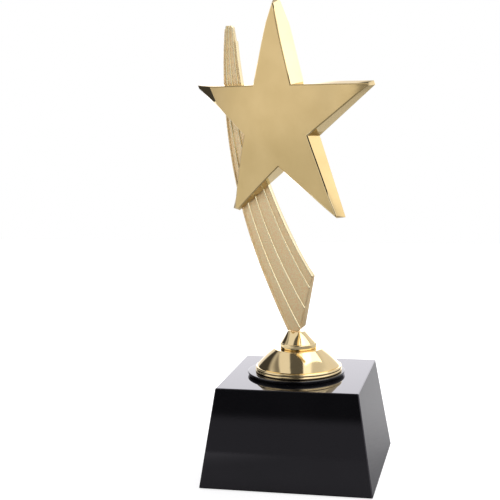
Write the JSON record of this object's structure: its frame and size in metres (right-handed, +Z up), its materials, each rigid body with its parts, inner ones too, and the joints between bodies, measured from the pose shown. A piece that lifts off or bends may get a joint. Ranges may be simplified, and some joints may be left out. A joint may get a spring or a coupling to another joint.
{
  "type": "star trophy",
  "caption": "Star trophy: a domed gold star on a sweeping ribbed ribbon, with a bell-shaped riser that turns on a weighted black square pedestal.",
  "frame": {"origin": "centre of the felt face that the pedestal rests on", "axes": "+Z up, -Y towards the front of the pedestal, +X to its right"},
  "size_m": [0.0923, 0.08, 0.2219],
  "materials": {
    "gloss_black": "polished black, high gloss",
    "disc_black": "gloss black",
    "cover_black": "matt black, moulded",
    "nylon": "natural nylon, turned",
    "ballast_iron": "raw casting",
    "foam": "closed-cell foam",
    "felt": "pressed felt",
    "steel": "zinc plated",
    "gold_polished": "gold plated, mirror polished",
    "gold_satin": "gold plated, satin face",
    "gold_sand": "gold plated, fine stippled lanes and bright ridges",
    "gold_back": "gold plated sheet, brushed"
  },
  "bodies": {
    "pedestal": {"pedestal_shell": "gloss_black", "rod_sleeve": "nylon", "seat_disc": "disc_black", "ballast_block": "ballast_iron", "ballast_foam": "foam", "bottom_cover": "cover_black", "cover_screws": "steel", "felt_pad": "felt"},
    "figure": {"riser_bell": "gold_polished", "collar": "gold_polished", "jam_nut": "steel", "tie_rod": "steel", "slip_washer": "nylon", "flat_washer": "steel", "lock_washer": "steel", "hex_nut": "steel", "ribbon": "gold_sand", "star_casting": "gold_satin", "star_back_plate": "gold_back", "star_screws": "steel", "screw_washers": "steel"}
  },
  "joints": [
    {"name": "figure_swivel", "type": "hinge", "parent": "pedestal", "child": "figure", "pos_m": [0, 0, 0.03], "axis": [0, 0, 1], "continuous": true}
  ]
}
